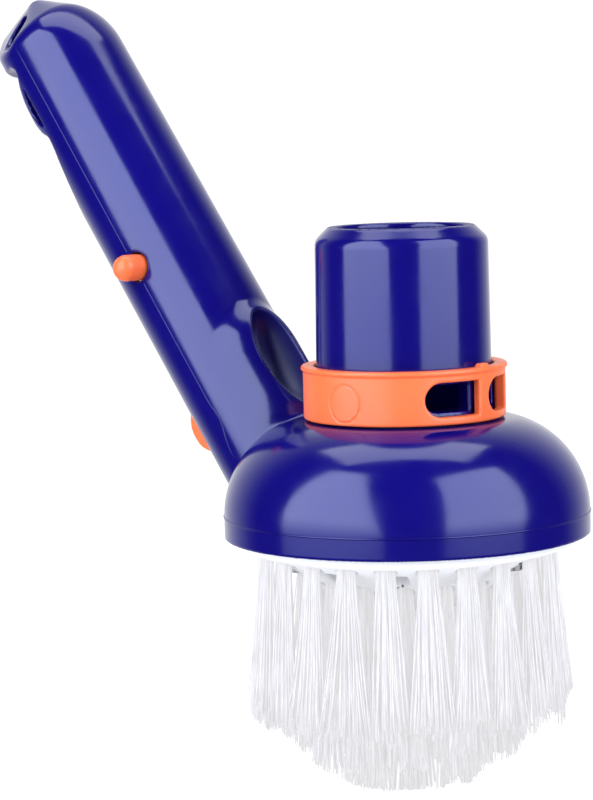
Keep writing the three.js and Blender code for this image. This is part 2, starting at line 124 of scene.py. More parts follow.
# The edge of the handle's underside, as pairs of t and n: straight walls, then the lug's curve.
UNDERSIDE = [(60, 20), (62, 14), (65, 11.6), (70, 9.2), (75, 7.8), (79, 6.8), (83.2, 5.7),
             (85.6, 5.4), (89.2, 7.6), (93.5, 9.1), (97.5, 8.8), (101.5, 6.8), (105.5, 4.2),
             (107.5, 5.4), (109.5, 9.0), (111.3, 14.5), (112.8, 20)]
LUG_WINDOW = (88.6, 100.6, 4.4, 2.4)  # from and to along t, its straight edge's n and its depth

# The CAD's knob holes are 3.9 in radius. They are drawn tighter here, so that no light shows
# beside the knobs at rest.
KNOB_UNDER, KNOB_ALONG = -0.7, 42.8
KNOB_RADIUS, KNOB_HOLE, KNOB_PAD = 3.1, 3.45, 4.5
LEAF_OUTER, LEAF_THICKNESS, LEAF_HALF = 10.4, 2.2, 3.5
LEAF_START, LEAF_END = -2.5, 52.5
NECK_UNDER, NECK_END = 0.4, 26       # the part of a leaf that passes the scoop
TAB_OUTER, TAB_INNER, TAB_START, TAB_END = 8.5, 6.4, -3.2, 10.6
TAB_EDGE, TAB_CROWN = 10.5, 14.6
SPRING_THICKNESS, SPRING_FOOT, SPRING_BEND, SPRING_RADIUS = 1.8, 53.2, 91, 3.6
POST_ALONG, POST_RADIUS, POST_FROM, POST_TO = 88, 2.0, -12.9, 4

BLOCK_RADIUS = 37.5
BLOCK_THICKNESS = 5.5
BLOCK_EDGE_TOP = 2.8
BLOCK_EDGE_INNER = 34.5
BLOCK_FACE = [(0, -18.3), (6, -17.6), (12.6, -15.4), (22.4, -9.7), (32.1, -3.6), (37.5, -1.6)]
TUFT_HOLE_RADIUS, TUFT_HOLE_DEPTH = 2.25, 4
CIRCLES = [                          # name, count, root radius, tip radius, tip height, first angle
    ("outer", 23, 32.1, 33.6, -38.6, -55.7),
    ("middle", 16, 22.4, 23.7, -47.7, -50.0),
    ("inner", 9, 12.2, 13.4, -54.9, -45.0),
]
SCREW_COUNT, SCREW_CIRCLE, FIRST_SCREW = 3, 27.3, 9.0
SCREW_HEAD, SCREW_HEAD_HEIGHT, SCREW_SHANK, SCREW_LENGTH = 2.2, 1.6, 1.3, 15
HEAD_DOME_CENTRE, HEAD_DOME_RADIUS = 1.6, 3.7
SEAT_RADIUS, SEAT_DEPTH, SEAT_HOLE = 2.7, 2.2, 1.7
SUCTION_COUNT, SUCTION_ACROSS, SUCTION_ALONG = 12, 3.6, 4.2
NO_WINDOW = 6                        # no suction window is this near to a screw
BOSS_RADIUS, BOSS_TOP, PILOT_RADIUS, PILOT_TOP = 3.1, 22, 1.65, 13

MM = 0.001

# ---------------------------------------------------------------- frames
hinge = joints["regulator_turn"]
HEAD = np.array([hinge["pos_m"][0], hinge["pos_m"][1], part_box("brush_body")[0].z])
ALONG = np.array(mounts["pole_end"]["axis"])
FLANK = np.array([0.0, -1.0, 0.0])
UNDER = np.cross(FLANK, ALONG)
FOOT = ((np.array(mounts["pole_end"]["pos_m"]) - HEAD) / MM
        - ALONG * (TIP_POINT - TIP_BLUNT) - UNDER * TIP_FACE_UNDER)


def to_handle(points):
    """n, m and t of points given in the head's frame."""
    offset = points - FOOT
    return offset @ UNDER, offset @ FLANK, offset @ ALONG


def from_handle(n, m, t):
    n, m, t = np.broadcast_arrays(np.asarray(n, float), m, t)
    return FOOT + n[..., None] * UNDER + m[..., None] * FLANK + t[..., None] * ALONG


def to_row(points):
    return np.asarray(points, float) * MM + HEAD


# ---------------------------------------------------------------- fields
# A field is negative inside a shape and grows by about one for each millimetre outwards.
def smooth_min(a, b, blend):
    h = np.maximum(blend - np.abs(a - b), 0) / blend
    return np.minimum(a, b) - h * h * blend / 4


def smooth_max(a, b, blend):
    return -smooth_min(-a, -b, blend)


def smooth_step(x):
    x = np.clip(x, 0, 1)
    return x * x * (3 - 2 * x)


def slab(x, low, high):
    return np.maximum(low - x, x - high)


def rounded_box(a, b, c, half_a, half_b, half_c, radius):
    qa, qb, qc = (np.abs(v) - h + radius for v, h in ((a, half_a), (b, half_b), (c, half_c)))
    outside = np.sqrt(np.maximum(qa, 0) ** 2 + np.maximum(qb, 0) ** 2 + np.maximum(qc, 0) ** 2)
    return outside + np.minimum(np.maximum(np.maximum(qa, qb), qc), 0) - radius


def obround(across, along, half, start, end):
    middle = np.clip(along, start + half, end - half)
    return np.hypot(across, along - middle) - half


def dome_profile(radius, z, reach, rise):
    lift = np.maximum(z - BAND_HEIGHT, 0) * (reach / rise)
    return np.hypot(np.maximum(radius - SHOULDER_RADIUS, 0), lift) - reach


def tip_shape(n, m, t):
    """A 45 degree cone on the handle's upper side and two 45 degree flats on its underside."""
    around = np.hypot(n, m)
    gable = np.sqrt(m * m + 0.35)
    share = smooth_step((n + 1.2) / 2.4)
    cone = (around * (1 - share) + gable * share + t - TIP_POINT) / math.sqrt(2)
    softness = 1.3 + 7 * np.clip(-n / HANDLE_RADIUS, 0, 1) ** 2
    return smooth_max(smooth_max(around - HANDLE_RADIUS, cone, softness),
                      t - TIP_POINT + TIP_BLUNT, 1.2)


def handle_field(n, m, t):
    solid = tip_shape(n, m, t)
    beside = np.maximum(obround(m, t, SCOOP_HALF, SCOOP_START, LIP_END), 0)
    solid = solid - LIP_RISE * smooth_step(1 - beside / LIP_WIDTH) * smooth_step(-n / 6)
    return smooth_max(solid, HANDLE_START - t, 2)


def scoop_hollow(n, m, t):
    half_length = (SCOOP_END - SCOOP_START) / 2
    scaled = np.stack([(n - SCOOP_CENTRE) / SCOOP_DEPTH, m / SCOOP_HALF,
                       (t - SCOOP_START) / half_length - 1])
    size = np.sqrt((scaled ** 2).sum(0)) + 1e-6
    slope = np.sqrt((scaled[0] / SCOOP_DEPTH) ** 2 + (scaled[1] / SCOOP_HALF) ** 2
                    + (scaled[2] / half_length) ** 2) + 1e-9
    return size * (size - 1) / slope


EDGE_T = np.array([t for t, _ in UNDERSIDE])
EDGE_N = np.array([n for _, n in UNDERSIDE])


def smooth_curve(x, xs, ys):
    """Cubic through the points (xs, ys), with slopes that never overshoot."""
    step = np.diff(ys) / np.diff(xs)
    slopes = np.concatenate([step[:1], np.where(step[:-1] * step[1:] > 0, 2 * step[:-1] * step[1:]
                             / (step[:-1] + step[1:] + 1e-12), 0), step[-1:]])
    x = np.clip(x, xs[0], xs[-1])
    i = np.clip(np.searchsorted(xs, x) - 1, 0, len(step) - 1)
    width = (xs[1:] - xs[:-1])[i]
    u = (x - xs[i]) / width
    return ((1 + 2 * u) * (1 - u) ** 2 * ys[i] + u * (1 - u) ** 2 * width * slopes[i]
            + u * u * (3 - 2 * u) * ys[i + 1] + u * u * (u - 1) * width * slopes[i + 1])


def underside_cut(n, t):
    edge = smooth_curve(t, EDGE_T, EDGE_N)
    slope = (smooth_curve(t + 0.4, EDGE_T, EDGE_N) - smooth_curve(t - 0.4, EDGE_T, EDGE_N)) / 0.8
    return (edge - n) / np.sqrt(1 + slope * slope)


def lug_windows(n, t):
    start, end, straight, depth = LUG_WINDOW
    share = (t - start) / (end - start)
    arch = straight + depth * (1 - (2 * share - 1) ** 2)
    return smooth_max(smooth_max(n - arch, straight - n, 0.4), slab(t, start, end), 0.4)


def radial_window(x, y, z, start, end, height):
    """A window seen from the neck's axis, round at its first end and straight at its last."""
    middle, half = math.radians((start + end) / 2), math.radians((end - start) / 2)
    across = -x * math.sin(middle) + y * math.cos(middle)
    outwards = x * math.cos(middle) + y * math.sin(middle)
    width = RING_RADIUS * math.sin(half)
    flat = smooth_max(np.abs(z - WINDOW_MID) - height / 2, across - width, 0.5)
    round_end = np.hypot(np.minimum(across + width - height / 2, 0), z - WINDOW_MID) - height / 2
    shape = np.where(across < -width + height / 2, round_end, flat)
    return np.maximum(shape, 8 - outwards)


def head_outside(points):
    radius, z = np.hypot(points[:, 0], points[:, 1]), points[:, 2]
    dome = smooth_max(dome_profile(radius, z, DOME_REACH, DOME_RISE), -z, 0.5)
    dome = smooth_max(dome, z - DOME_TOP, 0.6)
    taper = np.clip((z - DOME_TOP) / (NECK_TOP - NECK_BEVEL - DOME_TOP), 0, 1)
    neck = radius - (NECK_FOOT_RADIUS + (NECK_RADIUS - NECK_FOOT_RADIUS) * taper)
    bevel = (radius - NECK_RADIUS + NECK_BEVEL + z - NECK_TOP) / math.sqrt(2)
    neck = smooth_max(smooth_max(neck, bevel, 0.8), z - NECK_TOP, 0.7)
    neck = np.maximum(neck, BAND_HEIGHT - z)
    return smooth_min(dome, neck, 1.6)


def water_way(radius, z):
    inside = dome_profile(radius, z, DOME_REACH - DOME_WALL, DOME_RISE - DOME_WALL)
    inside = np.maximum(inside, z - DOME_TOP + DOME_WALL)
    mouth = (radius - NECK_BORE - z + NECK_TOP - 0.5) / math.sqrt(2)
    bore = smooth_min(radius - NECK_BORE, np.maximum(mouth, NECK_TOP - 1.5 - z), 0.4)
    return smooth_min(inside, bore, 2)


def bosses(points):
    foot = block_height(SCREW_CIRCLE + BOSS_RADIUS) + BLOCK_THICKNESS + GAP
    shape = None
    for i in range(SCREW_COUNT):
        x, y = polar(SCREW_CIRCLE, FIRST_SCREW + 360 / SCREW_COUNT * i)
        off = np.hypot(points[:, 0] - x, points[:, 1] - y)
        boss = smooth_max(off - BOSS_RADIUS, slab(points[:, 2], foot, BOSS_TOP), 0.5)
        boss = smooth_max(boss, -np.maximum(off - PILOT_RADIUS, points[:, 2] - PILOT_TOP), 0.3)
        shape = boss if shape is None else np.minimum(shape, boss)
    return shape


def body_field(points):
    n, m, t = to_handle(points)
    radius, z = np.hypot(points[:, 0], points[:, 1]), points[:, 2]
    bar = smooth_max(handle_field(n, m, t), 0.6 - z, 1.5)
    shape = smooth_min(head_outside(points), bar, 2.0)
    bore = smooth_max(np.hypot(n, m) - HANDLE_BORE, slab(t, BORE_START, BORE_END), 2.5)
    hollow = scoop_hollow(n, m, t)
    slot = smooth_max(np.abs(m) - SLOT_HALF, slab(t, SLOT_START, SLOT_END), 3)
    cutters = [
        (water_way(radius, z), 0.8), (bore, 0.8),
        (np.maximum(slot, SLOT_FLOOR - n), 0.9), (underside_cut(n, t), 0.9), (lug_windows(n, t), 0.5),
        (np.hypot(n - KNOB_UNDER, t - KNOB_ALONG) - KNOB_HOLE, 0.5),
        (np.hypot(n - HANG_HOLE[0], t - HANG_HOLE[1]) - HANG_HOLE[2], 0.9),
    ]
    for start, end in WINDOWS:
        port = radial_window(points[:, 0], points[:, 1], z, start + PORT_SHRINK,
                             end - PORT_SHRINK, PORT_HEIGHT)
        cutters.append((port, 0.4))
    for cutter, softness in cutters:
        shape = smooth_max(shape, -cutter, softness)
    wall = np.maximum(hollow - SCOOP_WALL, np.hypot(n, m) - HANDLE_RADIUS + 0.5)
    shape = smooth_max(smooth_min(shape, wall, 0.8), -hollow, 1.1)
    post = smooth_max(np.hypot(m, t - POST_ALONG) - POST_RADIUS, slab(n, POST_FROM, POST_TO), 0.6)
    return np.minimum(smooth_min(shape, post, 0.8), bosses(points))


def ring_field(points):
    x, y, z = points.T
    radius = np.hypot(x, y)
    top = RING_FOOT + RING_HEIGHT
    lip = RING_LIP * smooth_step((z - (top - RING_LIP_HEIGHT)) / 0.5)
    disc = math.radians(DISC_ANGLE)
    across = -x * math.sin(disc) + y * math.cos(disc)
    facing = x * math.cos(disc) + y * math.sin(disc) > 0
    spread = np.hypot(across, z - RING_MID + DISC_BELOW)
    groove = np.where(facing, smooth_step(1 - np.abs(spread - DISC_RADIUS) / 0.4), 0)
    plateau = np.where(facing, smooth_step((DISC_RADIUS + 0.1 - spread) / 0.5), 0)
    outer = radius - RING_RADIUS - lip - 0.08 * plateau + 0.16 * groove
    shape = smooth_max(outer, slab(z, RING_FOOT, top), 0.6)
    shape = smooth_max(shape, RING_BORE - radius, 0.6)
    for start, end in WINDOWS:
        shape = smooth_max(shape, -radial_window(x, y, z, start, end, WINDOW_HEIGHT), 0.7)
    nub = math.radians(NUB_ANGLE)
    out = x * math.cos(nub) + y * math.sin(nub) - RING_RADIUS + 1
    side = -x * math.sin(nub) + y * math.cos(nub)
    return smooth_min(shape, rounded_box(out, side, z - top, 1.0, 1.3, 0.8, 0.5), 0.6)


def block_height(radius):
    return np.interp(radius, [r for r, _ in BLOCK_FACE], [z for _, z in BLOCK_FACE])


def polar(radius, degrees):
    return radius * math.cos(math.radians(degrees)), radius * math.sin(math.radians(degrees))


def folded(x, y, count, first):
    """The points turned about the axis to the sector round the first of count places."""
    sector = 2 * math.pi / count
    angle = np.arctan2(y, x) - math.radians(first)
    angle -= sector * np.round(angle / sector)
    radius = np.hypot(x, y)
    return radius * np.cos(angle), radius * np.sin(angle)


def block_field(points):
    x, y, z = points.T
    radius = np.hypot(x, y)
    face = smooth_curve(radius, np.array([r for r, _ in BLOCK_FACE], float),
                        np.array([h for _, h in BLOCK_FACE]))
    lower = (face - z) * 0.87
    upper = (z - face - BLOCK_THICKNESS) * 0.87
    shape = smooth_max(smooth_max(lower, upper, 0.6), radius - BLOCK_RADIUS, 0.9)
    rim = smooth_max(slab(radius, BLOCK_EDGE_INNER, BLOCK_RADIUS), z - BLOCK_EDGE_TOP, 0.6)
    rim = smooth_max(rim, lower, 0.6)
    shape = smooth_min(shape, rim, 0.6)
    for _, count, root, tip, tip_z, first in CIRCLES:
        out, side = folded(x, y, count, first)
        root_z = block_height(root)
        run, drop = tip - root, tip_z - root_z
        length = math.hypot(run, drop)
        off = ((out - root) * drop - (z - root_z) * run) / length
        along = ((out - root) * run + (z - root_z) * drop) / length
        hole = smooth_max(np.hypot(off, side) - TUFT_HOLE_RADIUS, -TUFT_HOLE_DEPTH - along, 0.4)
        shape = smooth_max(shape, -hole, 0.5)
    out, side = folded(x, y, SUCTION_COUNT, FIRST_SCREW)
    window = rounded_box(out - SCREW_CIRCLE, side, z, SUCTION_ALONG / 2, SUCTION_ACROSS / 2, 40, 0.5)
    out, side = folded(x, y, SCREW_COUNT, FIRST_SCREW)
    off = np.hypot(out - SCREW_CIRCLE, side)
    window = np.where(off < NO_WINDOW, 9.0, window)
    recess = np.maximum(off - SEAT_RADIUS, z - block_height(SCREW_CIRCLE) - SEAT_DEPTH)
    seat = smooth_min(off - SEAT_HOLE, recess, 0.3)
    return smooth_max(shape, -np.minimum(window, seat), 0.4)


def button_field(side, knob_tip):
    def field(points):
        n, m, t = to_handle(points)
        m = m * side
        depth = m - LEAF_OUTER + LEAF_THICKNESS / 2
        leaf = rounded_box(n, depth, t - (NECK_END + LEAF_END) / 2,
                           LEAF_HALF, LEAF_THICKNESS / 2, (LEAF_END - NECK_END) / 2, 0.6)
        neck = rounded_box(n - (LEAF_HALF + NECK_UNDER) / 2, depth, t - (NECK_END + 2 + LEAF_START) / 2,
                           (LEAF_HALF - NECK_UNDER) / 2, LEAF_THICKNESS / 2,
                           (NECK_END + 2 - LEAF_START) / 2, 0.6)
        leaf = smooth_min(leaf, neck, 2.0)
        off = np.hypot(n - KNOB_UNDER, t - KNOB_ALONG)
        pad = smooth_max(off - KNOB_PAD, np.abs(depth) - LEAF_THICKNESS / 2, 0.6)
        crown = np.hypot(off, np.maximum(m - knob_tip + KNOB_RADIUS, 0)) - KNOB_RADIUS
        knob = np.maximum(crown, LEAF_OUTER - 1 - m)
        half = (TAB_END - TAB_START) / 2
        place = (t - (TAB_START + TAB_END) / 2) / half
        rise = TAB_CROWN - TAB_EDGE
        swell = (n - TAB_EDGE - rise * (1 - place ** 2)) / np.sqrt(1 + (2 * rise * place / half) ** 2)
        tab = smooth_max(swell, slab(t, TAB_START, TAB_END), 1.2)
        tab = smooth_max(tab, slab(n, NECK_UNDER, TAB_CROWN), 0.8)
        tab = smooth_max(tab, slab(m, TAB_INNER, TAB_OUTER), 1.0)
        shape = smooth_min(smooth_min(leaf, pad, 0.6), tab, 1.0)
        return smooth_min(shape, knob, 0.8)
    return field


def screw_field(index):
    x, y = polar(SCREW_CIRCLE, FIRST_SCREW + 360 / SCREW_COUNT * index)
    seat = block_height(SCREW_CIRCLE) + SEAT_DEPTH - GAP

    def field(points):
        dx, dy, z = points[:, 0] - x, points[:, 1] - y, points[:, 2] - seat
        off = np.hypot(dx, dy)
        dome = np.sqrt(off ** 2 + (z - HEAD_DOME_CENTRE) ** 2) - HEAD_DOME_RADIUS
        head = smooth_max(np.maximum(off - SCREW_HEAD, dome), slab(z, -SCREW_HEAD_HEIGHT, 0), 0.3)
        cross = np.minimum(np.maximum(np.abs(dx) - 0.35, np.abs(dy) - 1.3),
                           np.maximum(np.abs(dy) - 0.35, np.abs(dx) - 1.3))
        head = smooth_max(head, -np.maximum(cross, z + 0.7), 0.15)
        thread = 0.18 * np.abs((z + np.arctan2(dy, dx) / (2 * math.pi)) % 1.0 - 0.5)
        shank = smooth_max(off - SCREW_SHANK + thread, slab(z, -0.2, SCREW_LENGTH), 0.3)
        return smooth_min(head, shank, 0.2)
    return field


# ---------------------------------------------------------------- meshes from fields
BLOCK = 8                            # samples along each side of one block of the grid
CHUNK = 160                          # blocks sampled at a time
CORNERS = [(i, j, k) for i in (0, 1) for j in (0, 1) for k in (0, 1)]


def sampled(field, low, high, step):
    """The field on a grid. Blocks far from the surface only hold its sign."""
    counts = [int(math.ceil((b - a) / step / BLOCK)) for a, b in zip(low, high)]
    values = np.ones([c * BLOCK for c in counts], np.float32)
    index = np.stack(np.meshgrid(*[np.arange(c) for c in counts], indexing="ij"), -1).reshape(-1, 3)
    low = np.array(low, float)
    centres = low + (index * BLOCK + (BLOCK - 1) / 2) * step
    distance = field(centres)
    near = np.abs(distance) < BLOCK * step * 1.15 + 0.6
    for i, j, k in index[distance < 0] * BLOCK:
        values[i:i + BLOCK, j:j + BLOCK, k:k + BLOCK] = -1
    inner = np.stack(np.meshgrid(*[np.arange(BLOCK)] * 3, indexing="ij"), -1).reshape(-1, 3)
    blocks = index[near] * BLOCK
    for first in range(0, len(blocks), CHUNK):
        cells = (blocks[first:first + CHUNK, None, :] + inner[None, :, :]).reshape(-1, 3)
        values[cells[:, 0], cells[:, 1], cells[:, 2]] = field(low + cells * step)
    return values


def surface_net(values, low, step):
    """Vertices and quads of the surface where the sampled field is zero."""
    inside = values < 0
    size = np.array(values.shape) - 1
    count = np.zeros(size, np.uint8)
    for i, j, k in CORNERS:
        count += inside[i:i + size[0], j:j + size[1], k:k + size[2]]
    cells = np.argwhere((count > 0) & (count < 8))
    number = np.full(size, -1, np.int32)
    number[tuple(cells.T)] = np.arange(len(cells))
    total, crossings = np.zeros((len(cells), 3)), np.zeros(len(cells))
    for corner in CORNERS:
        for axis in range(3):
            if corner[axis]:
                continue
            start = cells + corner
            end = start.copy()
            end[:, axis] += 1
            a, b = values[tuple(start.T)], values[tuple(end.T)]
            crossed = (a < 0) != (b < 0)
            place = start.astype(float)
            place[:, axis] += a / np.where(crossed, a - b, 1)
            total[crossed] += place[crossed]
            crossings += crossed
    vertices = np.array(low, float) + total / crossings[:, None] * step
    quads = []
    for axis in range(3):
        one, two = (axis + 1) % 3, (axis + 2) % 3
        span = [slice(0, s) for s in size]
        span[one], span[two] = slice(1, size[one]), slice(1, size[two])
        ahead = list(span)
        ahead[axis] = slice(1, size[axis] + 1)
        first, second = inside[tuple(span)], inside[tuple(ahead)]
        edges = np.argwhere(first != second)
        going_out = first[tuple(edges.T)]
        edges[:, one] += 1
        edges[:, two] += 1
        around = []
        for back_one, back_two in ((1, 1), (0, 1), (0, 0), (1, 0)):
            cell = edges.copy()
            cell[:, one] -= back_one
            cell[:, two] -= back_two
            around.append(number[tuple(cell.T)])
        quad = np.stack(around, 1)
        quad[~going_out] = quad[~going_out][:, ::-1]
        quads.append(quad)
    return vertices, np.concatenate(quads)


def gradient(field, points, reach):
    slopes = []
    for axis in range(3):
        shift = np.zeros(3)
        shift[axis] = reach
        slopes.append((field(points + shift) - field(points - shift)) / (2 * reach))
    return np.stack(slopes, 1)


def solid_from(field, low, high, step):
    """Vertices on the field's surface, quads between them and the surface's true normals."""
    low = [v - 2 * step for v in low]
    high = [v + 3 * step for v in high]
    vertices, quads = surface_net(sampled(field, low, high, step), low, step)
    for _ in range(3):
        slope = gradient(field, vertices, step / 4)
        move = (field(vertices) / np.maximum((slope ** 2).sum(1), 0.2))[:, None] * slope
        length = np.linalg.norm(move, axis=1, keepdims=True)
        vertices = vertices - move * np.minimum(1, step * 0.4 / np.maximum(length, 1e-9))
    normals = gradient(field, vertices, step / 3)
    return vertices, quads, normals / np.maximum(np.linalg.norm(normals, axis=1, keepdims=True), 1e-9)


def make_piece(name, vertices, faces, material, normals=None):
    mesh = bpy.data.meshes.new(name)
    mesh.from_pydata(to_row(vertices).tolist(), [], [list(map(int, f)) for f in faces])
    mesh.validate()
    mesh.shade_smooth()
    if normals is not None and len(mesh.vertices) == len(normals):
        mesh.normals_split_custom_set_from_vertices(normals.tolist())
    mesh.materials.append(material)
    piece = bpy.data.objects.new(name, mesh)
    bpy.context.scene.collection.objects.link(piece)
    return piece


def node_span(node):
    """The box of a CAD node in the head's frame, in millimetres."""
    low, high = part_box(node)
    return [(np.array(v) - HEAD) / MM for v in (low, high)]


def field_piece(name, node, field, step, material, body, margin=0.8):
    low, high = node_span(node)
    vertices, quads, normals = solid_from(field, low - margin, high + margin, step)
    piece = make_piece(name, vertices, quads, material, normals)
    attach(piece, body)
    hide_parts(node)
    return piece


# ---------------------------------------------------------------- materials
def new_material(name, base, roughness):
    material = bpy.data.materials.new(name)
    material.use_nodes = True
    nodes, links = material.node_tree.nodes, material.node_tree.links
    shader = nodes["Principled BSDF"]
    shader.inputs["Base Color"].default_value = (*base, 1)
    shader.inputs["Roughness"].default_value = roughness
    return material, nodes, links, shader


def noise(nodes, links, scale, detail=2.0, stretch=None):
    coordinates = nodes.new("ShaderNodeTexCoord")
    texture = nodes.new("ShaderNodeTexNoise")
    texture.inputs["Scale"].default_value = scale
    texture.inputs["Detail"].default_value = detail
    source = coordinates.outputs["Object"]
    if stretch:
        mapping = nodes.new("ShaderNodeMapping")
        mapping.inputs["Scale"].default_value = stretch
        links.new(source, mapping.inputs["Vector"])
        source = mapping.outputs["Vector"]
    links.new(source, texture.inputs["Vector"])
    return texture


def ranged(nodes, links, source, low, high, start=0.3, end=0.7):
    remap = nodes.new("ShaderNodeMapRange")
    remap.inputs["From Min"].default_value = start
    remap.inputs["From Max"].default_value = end
    remap.inputs["To Min"].default_value = low
    remap.inputs["To Max"].default_value = high
    links.new(source, remap.inputs["Value"])
    return remap.outputs["Result"]


def moulded(name, base, shade, roughness, texture_scale, bump, spread=0.03):
    """Moulded plastic: a slow drift of colour, uneven polish and a fine skin."""
    material, nodes, links, shader = new_material(name, base, roughness)
    drift = noise(nodes, links, 45)
    mix = nodes.new("ShaderNodeMix")
    mix.data_type = "RGBA"
    mix.inputs["A"].default_value = (*base, 1)
    mix.inputs["B"].default_value = (*shade, 1)
    links.new(ranged(nodes, links, drift.outputs["Fac"], 0, 1), mix.inputs["Factor"])
    links.new(mix.outputs["Result"], shader.inputs["Base Color"])
    polish = noise(nodes, links, 160, 4)
    links.new(ranged(nodes, links, polish.outputs["Fac"], roughness - spread, roughness + spread),
              shader.inputs["Roughness"])
    skin = noise(nodes, links, texture_scale, 3)
    bumps = nodes.new("ShaderNodeBump")
    bumps.inputs["Strength"].default_value = bump
    bumps.inputs["Distance"].default_value = 0.00005
    links.new(skin.outputs["Fac"], bumps.inputs["Height"])
    links.new(bumps.outputs["Normal"], shader.inputs["Normal"])
    return material, shader


def duller_where(material, attribute_name, amount):
    """Rougher plastic where the mesh carries the named attribute."""
    nodes, links = material.node_tree.nodes, material.node_tree.links
    roughness = nodes["Principled BSDF"].inputs["Roughness"]
    attribute = nodes.new("ShaderNodeAttribute")
    attribute.attribute_name = attribute_name
    added = nodes.new("ShaderNodeMath")
    added.operation = "MULTIPLY_ADD"
    added.inputs[1].default_value = amount
    links.new(attribute.outputs["Fac"], added.inputs[0])
    links.new(roughness.links[0].from_socket, added.inputs[2])
    links.new(added.outputs["Value"], roughness)


blue, blue_shader = moulded("blue_plastic", (0.0034, 0.0017, 0.108), (0.0039, 0.0021, 0.117), 0.15,
                            900, 0.10)
blue_shader.inputs["Specular IOR Level"].default_value = 0.62
blue_shader.inputs["Specular Tint"].default_value = (0.78, 0.85, 1, 1)
duller_where(blue, "dull", SCOOP_DULLNESS)
orange, orange_shader = moulded("orange_plastic", (0.88, 0.153, 0.040), (0.91, 0.163, 0.045), 0.36,
                                1300, 0.2)
orange_shader.inputs["Subsurface Weight"].default_value = 0.15
orange_shader.inputs["Subsurface Radius"].default_value = (0.004, 0.0015, 0.0006)
white = moulded("white_plastic", (0.80, 0.81, 0.82), (0.83, 0.84, 0.85), 0.42, 1100, 0.15)[0]


def bristle_material():
    material, nodes, links, shader = new_material("bristle", (0.9, 0.91, 0.94), 0.4)
    streak = noise(nodes, links, 1.0, 2, (1800, 1800, 40))
    mix = nodes.new("ShaderNodeMix")
    mix.data_type = "RGBA"
    mix.inputs["A"].default_value = (0.27, 0.265, 0.26, 1)
    mix.inputs["B"].default_value = (0.36, 0.355, 0.35, 1)
    links.new(ranged(nodes, links, streak.outputs["Fac"], 0, 1), mix.inputs["Factor"])
    links.new(mix.outputs["Result"], shader.inputs["Base Color"])
    links.new(ranged(nodes, links, streak.outputs["Fac"], 0.32, 0.5), shader.inputs["Roughness"])
    shader.inputs["Specular IOR Level"].default_value = 0.25
    # Painted light: the filaments glow a little, in place of the light that the nylon scatters, a bit
    # more along some streaks than others.
    shader.inputs["Emission Color"].default_value = (0.98, 0.975, 1.0, 1)
    links.new(ranged(nodes, links, streak.outputs["Fac"], 0.45, 0.54), shader.inputs["Emission Strength"])
    return material


def steel_material():
    material, nodes, links, shader = new_material("steel", (0.6, 0.61, 0.63), 0.3)
    shader.inputs["Metallic"].default_value = 1.0
    brushed = noise(nodes, links, 1.0, 3, (300, 300, 4000))
    links.new(ranged(nodes, links, brushed.outputs["Fac"], 0.22, 0.4), shader.inputs["Roughness"])
    return material


bristle = bristle_material()
steel = steel_material()

# ---------------------------------------------------------------- body
body_shell = field_piece("body_shell", "brush_body", body_field, 0.6, blue,
                         "body")
skin_points = np.empty(3 * len(body_shell.data.vertices), np.float32)
body_shell.data.vertices.foreach_get("co", skin_points)
skin_points = (skin_points.reshape(-1, 3) - HEAD) / MM
dull = body_shell.data.attributes.new("dull", "FLOAT", "POINT")
dull.data.foreach_set("value", smooth_step(1 - scoop_hollow(*to_handle(skin_points))).astype(np.float32))


def swept_bead(name, path, radius, material, body, closed=False):
    """A fine half-sunk bead along a line of points, such as the flash where mould halves met."""
    path = np.asarray(path, float)
    ahead, behind = np.roll(path, -1, 0), np.roll(path, 1, 0)
    if not closed:
        ahead[-1], behind[0] = path[-1], path[0]
    tangent = ahead - behind
    tangent /= np.linalg.norm(tangent, axis=1, keepdims=True)
    side = np.cross(tangent, [0.3, 0.2, 0.93])
    side /= np.linalg.norm(side, axis=1, keepdims=True)
    up = np.cross(side, tangent)
    sides = 8
    angles = np.arange(sides) * 2 * math.pi / sides
    size = np.full(len(path), radius)
    if not closed:
        size *= np.clip(np.minimum(np.arange(len(path)), np.arange(len(path))[::-1]) / 6, 0.15, 1)
    rings = (path[:, None] + size[:, None, None] * (np.cos(angles)[None, :, None] * side[:, None]
             + np.sin(angles)[None, :, None] * up[:, None]))
    faces = []
    last = len(path) if closed else len(path) - 1
    for i in range(last):
        a, b = i * sides, (i + 1) % len(path) * sides
        for s in range(sides):
            faces.append((a + s, a + (s + 1) % sides, b + (s + 1) % sides, b + s))
    if not closed:
        faces.append(tuple(range(sides))[::-1])
        faces.append(tuple((len(path) - 1) * sides + s for s in range(sides)))
    piece = make_piece(name, rings.reshape(-1, 3), faces, material)
    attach(piece, body)


def parting_line(side):
    """Along the flank at n = -0.6, over the knob's hole, and down to the dome."""
    t = np.concatenate([np.arange(110, KNOB_ALONG + 6, -1.0), np.arange(KNOB_ALONG + 5, 5, -0.5),
                        np.arange(5, -12, -1.0)])
    around = np.maximum(KNOB_HOLE + 0.7 - np.abs(t - KNOB_ALONG), 0)
    n = -0.6 - np.sqrt(around * (2 * (KNOB_HOLE + 0.7) - around))
    n = n - 2.2 * smooth_step((6 - t) / 16) + 3.4 * smooth_step((1 - t) / 10)
    m = np.sqrt(HANDLE_RADIUS ** 2 - n ** 2)
    points = from_handle(n, side * m, t)
    for _ in range(4):
        slope = gradient(body_field, points, 0.1)
        points = points - (body_field(points) / (slope ** 2).sum(1))[:, None] * slope
    return points[head_outside(points) > 0.4]


for side, name in ((1, "right"), (-1, "left")):
    swept_bead(f"parting_line_{name}", parting_line(side), 0.16, blue, "body")
turn = np.radians(np.arange(0, 360, 2.5))
rim_circle = np.stack([RIM_RADIUS * np.cos(turn), RIM_RADIUS * np.sin(turn),
                       np.full(len(turn), BAND_HEIGHT)], 1)
swept_bead("rim_bead", rim_circle, 0.22, blue, "body", closed=True)

